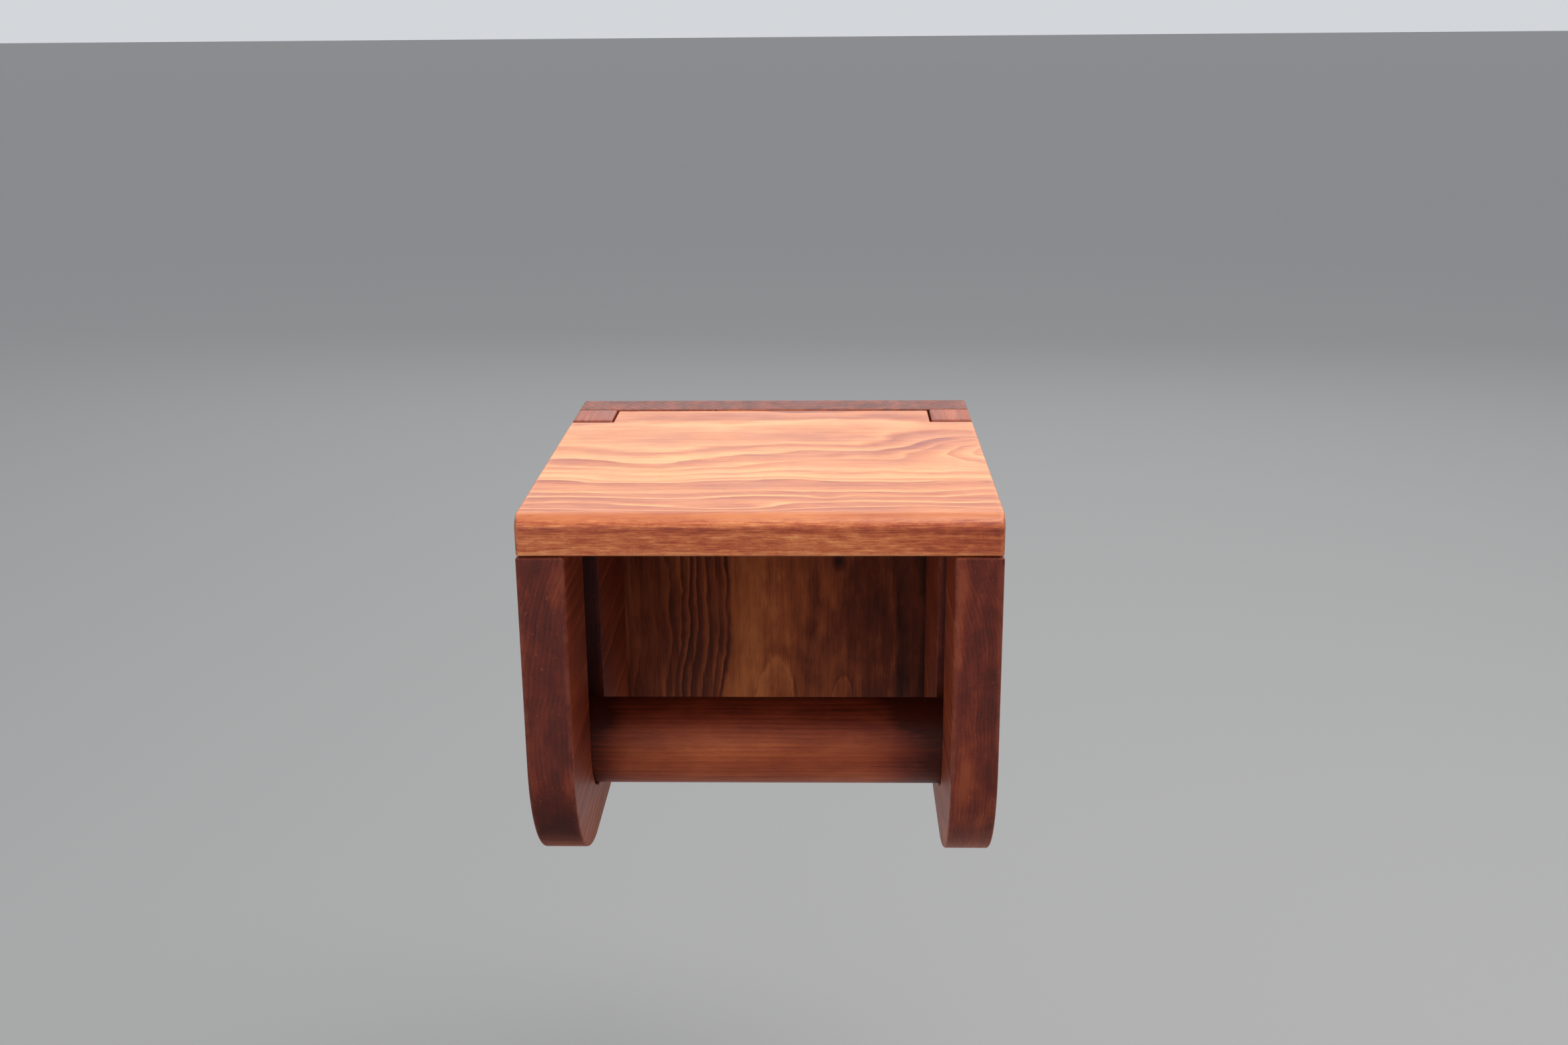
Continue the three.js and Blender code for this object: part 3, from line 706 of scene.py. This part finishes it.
plate = prism("back_plate_board", [(-HALF, BOTTOM), (HALF, BOTTOM), (HALF, TOP), (-HALF, TOP)], -PLATE, 0.0, "y")
bevel(plate, 1.0)
apply_modifiers(plate)
cutters = []
for side in (-1, 1):
    for z in SCREW_Z.values():
        cutters.append(screw_hole("c", side * SCREW_X, z, 4.0, 8.0, 3.0, 0.6, 30))
    cx = side * HANGER_X
    cutters.append(prism("c", round_rect(15.6, 33.6, 4.3, cx, HANGER_Z), -2.1, 2.0, "y"))
    cutters.append(prism("c", round_rect(12.0, 17.8, 4.0, cx, HANGER_Z - 0.3), -8.6, 0.5, "y"))
    for dz in (-12.7, 12.7):
        cutters.append(screw_hole("c", cx, HANGER_Z + dz, 2.8, 5.4, 1.4, 0.45, 11.5))
cut(plate, cutters)
smooth(plate)
place(plate, "back_plate", "frame", plate_mat, "stained_wood_back")

# ------------------------------------------------------------------------------------------------
# Cheeks
# ------------------------------------------------------------------------------------------------
def cheek(side):
    ear_top = 180 - math.degrees(math.asin(LID_T / 2 / EAR_R))
    outer = ([(-PLATE - 0.3, BOTTOM), (-PLATE - 0.3, TOP)] + arc(HY, HZ, EAR_R, ear_top, 180, 8)
             + [(EAR_FRONT, CHEEK_TOP)])
    g_back = (GROOVE_Y + GROOVE_W / 2, CHEEK_TOP)
    g_front = (GROOVE_Y - GROOVE_W / 2, CHEEK_TOP)
    front = [(-DEPTH, CHEEK_TOP)] + arc(-DEPTH + CORNER_R, BOTTOM + CORNER_R, CORNER_R, 180, 270, 24)
    seat = arc(GROOVE_Y, SEAT_Z, GROOVE_W / 2, 0, -180, 28)
    xo, xi, xg = side * HALF, side * IN, side * (IN + GROOVE_D)
    verts, faces = [], []

    def add(pts, x):
        base = len(verts)
        verts.extend((x, p[0], p[1]) for p in pts)
        return list(range(base, base + len(pts)))

    # outer face carries the two groove corners on its top edge so that the walls meet vertex to vertex
    ring_o = outer + [g_back, g_front] + front
    ring_i = outer + [g_back] + seat + [g_front] + front
    io = add(ring_o, xo)
    ii = add(ring_i, xi)
    floor_pts = [g_back] + seat + [g_front]
    ig = add(floor_pts, xg)
    faces.append(io)
    faces.append(ii)
    faces.append(ig)
    n_out = len(outer)
    n_seat = len(seat)
    # outline walls, leaving out the groove's mouth
    o_to_i = {k: (k if k <= n_out else k + n_seat) for k in range(len(ring_o))}
    for k in range(len(ring_o)):
        k2 = (k + 1) % len(ring_o)
        if k == n_out:
            continue
        face = [io[k], io[k2], ii[o_to_i[k2]], ii[o_to_i[k]]]
        if k2 == n_out:
            face.insert(2, ig[0])
        elif k == n_out + 1:
            face.append(ig[-1])
        faces.append(face)
    # the mouth: from the outer face to the groove floor
    faces.append([io[n_out], io[n_out + 1], ig[-1], ig[0]])
    # groove walls
    for k in range(len(floor_pts) - 1):
        faces.append([ii[n_out + k], ii[n_out + k + 1], ig[k + 1], ig[k]])
    # the walls beside the mouth share the floor's corner vertices, so the board is closed
    return new_object(("left" if side < 0 else "right") + "_cheek_board", verts, faces)


for side, word, mat in ((-1, "left", left_mat), (1, "right", right_mat)):
    ob = cheek(side)
    bevel(ob, 1.5)
    apply_modifiers(ob)
    cutters = [turned("c", [(0, -90), (2.8, -90), (2.8, 90), (0, 90)], "x", (HY, HZ), 32)]
    for z in SCREW_Z.values():
        cutters.append(screw_hole("c", side * SCREW_X, z, 4.0, 8.0, 3.0, 0.6, 46))
    cut(ob, cutters)
    smooth(ob)
    place(ob, word + "_cheek", "frame", mat, "stained_wood_cheek")

# ------------------------------------------------------------------------------------------------
# Lid
# ------------------------------------------------------------------------------------------------
def lid_board():
    # top view outline of the notch; the rear of the tongue is rounded about the hinge axis
    wide = [(SHOULDER, LID_UNDER), (SHOULDER, TOP)]
    # the nose eases out of the top face before it turns down
    nose = [(-DEPTH + 6.4 - 6.4 * math.sin(u), TOP - 4.4 + 4.4 * math.cos(u)) for u in [math.radians(90.0 * (k / 14.0) ** 1.15) for k in range(15)]]
    under = [(-DEPTH, LID_UNDER)]
    ring = wide + nose + under
    a = math.degrees(math.asin(LID_T / 2 / TONGUE_R))
    end = arc(HY, HZ, TONGUE_R, -a, a, 12)
    verts, faces = [], []

    def add(pts, x):
        base = len(verts)
        verts.extend((x, p[0], p[1]) for p in pts)
        return list(range(base, base + len(pts)))

    o0, o1 = add(ring, -HALF), add(ring, HALF)
    faces += [o0, o1]
    n = len(ring)
    # tongue ends
    t0 = add([wide[0]] + end + [wide[1]], -TONGUE_X)
    t1 = add([wide[0]] + end + [wide[1]], TONGUE_X)
    faces += [t0, t1]
    for k in range(len(end) - 1):
        faces.append([t0[k + 1], t0[k + 2], t1[k + 2], t1[k + 1]])
    # shoulders
    faces.append([o0[0], o0[1], t0[-1], t0[0]])
    faces.append([o1[0], o1[1], t1[-1], t1[0]])
    # top: one face, with the tongue
    faces.append([o0[1], o0[2], o1[2], o1[1], t1[-1], t1[-2], t0[-2], t0[-1]])
    # nose
    for k in range(2, n - 1):
        faces.append([o0[k], o0[k + 1], o1[k + 1], o1[k]])
    # underside
    faces.append([o0[n - 1], o0[0], t0[0], t0[1], t1[1], t1[0], o1[0], o1[n - 1]])
    return new_object("lid_board", verts, faces)


lid = lid_board()
# the arrises are 1 mm all round and swell to 3.4 mm at the two front corners
weight = lid.data.attributes.new("bevel_weight_edge", "FLOAT", "EDGE")
for e in lid.data.edges:
    a, b = (lid.data.vertices[i].co / MM for i in e.vertices)
    mid = (a + b) / 2
    w = 1.0
    if abs(abs(mid.x) - HALF) < 0.01 and mid.y < -DEPTH + 6.5 and abs(a.z - b.z) > 1e-4:
        w = 3.4 - 2.4 * max(0.0, min(1.0, (mid.z - (TOP - 3.0)) / 3.0)) ** 2
    elif abs(mid.x) < HALF - 0.01 and mid.y < -DEPTH + 6.5 and mid.z > LID_UNDER + 0.1:
        w = 0.0
    elif abs(mid.y - HY) < TONGUE_R + 0.1 and mid.y > HY + 0.1 and abs(mid.x) < TONGUE_X - 0.01:
        w = 0.0
    weight.data[e.index].value = w / 3.4
b = lid.modifiers.new("arris", "BEVEL")
b.width = 3.4 * MM
b.segments = 5
b.limit_method = "WEIGHT"
b.use_clamp_overlap = True
b.miter_outer = "MITER_ARC"
apply_modifiers(lid)
inner = HALF - 0.5 - 35 - 1
cut(lid, [turned("c", [(0, -90), (2.8, -90), (2.8, -inner), (0, -inner)], "x", (HY, HZ), 32),
          turned("c", [(0, inner), (2.8, inner), (2.8, 90), (0, 90)], "x", (HY, HZ), 32)])
smooth(lid)
place(lid, "lid", "lid", lid_mat, "stained_wood_lid")

# ------------------------------------------------------------------------------------------------
# Roller
# ------------------------------------------------------------------------------------------------
rl, rr = ROLLER_L / 2, ROLLER_R
prof = [(0, -rl), (rr - 6, -rl), (rr - 1.2, -rl)]
prof += [(rr - 1.2 + 1.2 * math.sin(a), -rl + 1.2 - 1.2 * math.cos(a)) for a in [math.radians(22.5 * k) for k in range(1, 4)]]
prof += [(rr, -rl + 1.2)] + [(rr, -rl + 1.2 + (2 * rl - 2.4) * k / 30) for k in range(1, 30)] + [(rr, rl - 1.2)]
prof += [(rr - 1.2 + 1.2 * math.sin(a), rl - 1.2 + 1.2 * math.cos(a)) for a in [math.radians(22.5 * k) for k in (3, 2, 1)]]
prof += [(rr - 1.2, rl), (rr - 6, rl), (0, rl)]
roller = turned("roller_dowel", prof, "x", (GROOVE_Y, ROLLER_Z), 96)
smooth(roller, 50)
place(roller, "roller", "roller", roller_mat, "stained_wood_roller")

# ------------------------------------------------------------------------------------------------
# Metal: pins, screws with cross recesses, keyhole plates
# ------------------------------------------------------------------------------------------------
for side, word in ((-1, "left"), (1, "right")):
    out = side * (HALF - 0.5)
    prof = [(0, 0), (1.9, 0), (2.2, 0.12), (2.42, 0.4), (2.5, 0.8), (2.5, 34.2), (2.42, 34.6), (2.2, 34.88), (1.9, 35), (0, 35)]
    pin = turned(word + "_hinge_pin_rod", [(r, out - side * a) for r, a in prof], "x", (HY, HZ), 40)
    smooth(pin, 50)
    place(pin, word + "_hinge_pin", "frame", steel_mat, "steel_pin")


def screw(name, x, z, d, head, cone, sunk, length, threads):
    y0 = -sunk
    prof = [(0, y0), (head / 2 - 0.25, y0), (head / 2, y0 - 0.15), (head / 2, y0 - 0.35), (d / 2 * 0.82, y0 - cone)]
    # thread as a run of crests and roots, tapering to the point
    start, end = y0 - cone - (length - cone) * 0.28, y0 - length
    prof.append((d / 2 * 0.82, start))
    for k in range(threads):
        a = start + (end - start) * (k + 0.25) / threads
        b = start + (end - start) * (k + 0.60) / threads
        left = 1.0 - max(0.0, (k + 1) / threads - 0.78) / 0.22
        prof.append((max(0.15, d / 2 * left), a))
        prof.append((max(0.1, d / 2 * 0.68 * left), b))
    prof.append((0, end))
    ob = turned(name, prof, "y", (x, z), 32)
    arm, thick, deep = head * 0.27, head * 0.065, cone * 0.75
    blades = []
    for a in (0.35, 0.35 + math.pi / 2):
        c, s = math.cos(a), math.sin(a)
        pts = []
        for lx, lz in ((-arm, -thick), (arm, -thick), (arm, thick), (-arm, thick)):
            pts.append((x + lx * c - lz * s, z + lx * s + lz * c))
        blades.append(prism("c", pts, y0 - deep, 1.0, "y"))
    cut(ob, blades)
    smooth(ob, 35)
    return ob


for side, word in ((-1, "left"), (1, "right")):
    for level, z in SCREW_Z.items():
        ob = screw(f"{word}_cheek_screw_{level}_body", side * SCREW_X, z, 4.0, 8.0, 3.0, 0.6, 45.0, 20)
        place(ob, f"{word}_cheek_screw_{level}", "frame", yellow_mat, "yellow_zinc_screw")
    cx = side * HANGER_X
    plate_ob = prism(word + "_keyhole_plate_body", round_rect(15, 33, 4, cx, HANGER_Z, 8), -1.8, -0.2, "y")
    bevel(plate_ob, 0.3, 3)
    apply_modifiers(plate_ob)
    a = math.degrees(math.asin(4.6 / 9.0))
    key = arc(cx, HANGER_Z + 5.5, 2.3, 0, 180, 14) + arc(cx, HANGER_Z - 4.0, 4.5, 90 + a, 450 - a, 36)
    cutters = [prism("c", key, -4, 2, "y")]
    for dz in (-12.7, 12.7):
        cutters.append(turned("c", [(0, -3), (1.7, -3), (1.7, -2.15), (3.0, -1.1), (3.0, 2), (0, 2)], "y", (cx, HANGER_Z + dz), 32))
    cut(plate_ob, cutters)
    smooth(plate_ob, 35)
    place(plate_ob, word + "_keyhole_plate", "frame", zinc_mat, "zinc_plate")
    for level, dz in (("upper", 12.7), ("lower", -12.7)):
        ob = screw(f"{word}_keyhole_screw_{level}_body", cx, HANGER_Z + dz, 2.8, 5.4, 1.4, 0.45, 11.0, 7)
        place(ob, f"{word}_keyhole_screw_{level}", "frame", zinc_mat, "zinc_screw")

# ------------------------------------------------------------------------------------------------
# Stage: plain pale floor and soft studio light
# ------------------------------------------------------------------------------------------------
floor_me = bpy.data.meshes.new("floor")
floor_me.from_pydata([(-40, -40, -0.30), (40, -40, -0.30), (40, 40, -0.30), (-40, 40, -0.30)], [], [(0, 1, 2, 3)])
floor = bpy.data.objects.new("floor", floor_me)
scene.collection.objects.link(floor)
ft = Tree("pale_floor")
ft.bsdf.inputs["Base Color"].default_value = (0.33, 0.33, 0.33, 1)
ft.bsdf.inputs["Roughness"].default_value = 0.9
floor_me.materials.append(ft.mat)

world = bpy.data.worlds.new("studio")
scene.world = world
world.use_nodes = True
bg = world.node_tree.nodes["Background"]
bg.inputs[0].default_value = (0.93, 0.96, 1.0, 1)
bg.inputs[1].default_value = 0.70


def area(name, loc, target, size, power, colour=(1, 1, 1)):
    d = bpy.data.lights.new(name, "AREA")
    d.shape = "RECTANGLE"
    d.size, d.size_y = size
    d.energy = power
    d.color = colour
    o = bpy.data.objects.new(name, d)
    scene.collection.objects.link(o)
    o.location = loc
    o.rotation_euler = (Vector(target) - Vector(loc)).to_track_quat("-Z", "Y").to_euler()
    o.visible_camera = False
    return o


area("key", (0.55, -0.15, 1.35), (0, -0.09, 0.0), (1.1, 1.1), 19.0, (1.0, 0.97, 0.93))
area("fill", (-0.9, -1.6, 0.35), (0, -0.12, 0.0), (0.9, 0.9), 5.0, (0.95, 0.97, 1.0))
area("sheen", (0.15, 1.7, 0.75), (0, -0.09, 0.05), (2.2, 0.9), 6.0, (1.0, 0.98, 0.95))
